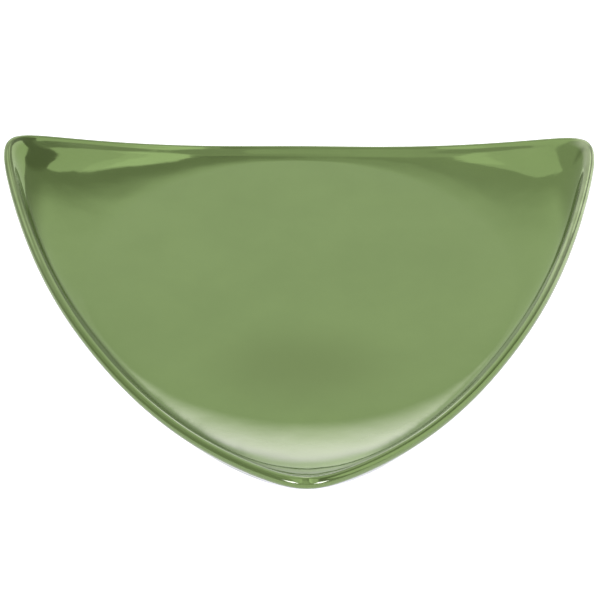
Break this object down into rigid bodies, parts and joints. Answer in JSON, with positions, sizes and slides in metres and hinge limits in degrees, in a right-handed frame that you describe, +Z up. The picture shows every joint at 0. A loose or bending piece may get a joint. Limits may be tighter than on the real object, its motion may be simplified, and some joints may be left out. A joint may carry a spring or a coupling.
{
  "type": "plate",
  "caption": "Shallow triangular coupe plate with bowed sides, upswept rounded corners, a rolled lip and a dry foot ring, glazed in glossy green, for serving food.",
  "frame": {"origin": "on the plate's axis, in the plane of the foot ring's bearing face", "axes": "+Z up, along the axis of threefold symmetry; +X along the longest extent, from corner to corner across the back; one corner points to -Y and the side between the others faces +Y"},
  "size_m": [0.2894, 0.2749, 0.0342],
  "materials": {
    "clay": "unglazed, ground smooth on the bearing face",
    "glaze": "glossy"
  },
  "bodies": {
    "root": {"clay_body": "clay", "outer_glaze": "glaze", "foot_well_glaze": "glaze"}
  },
  "joints": []
}
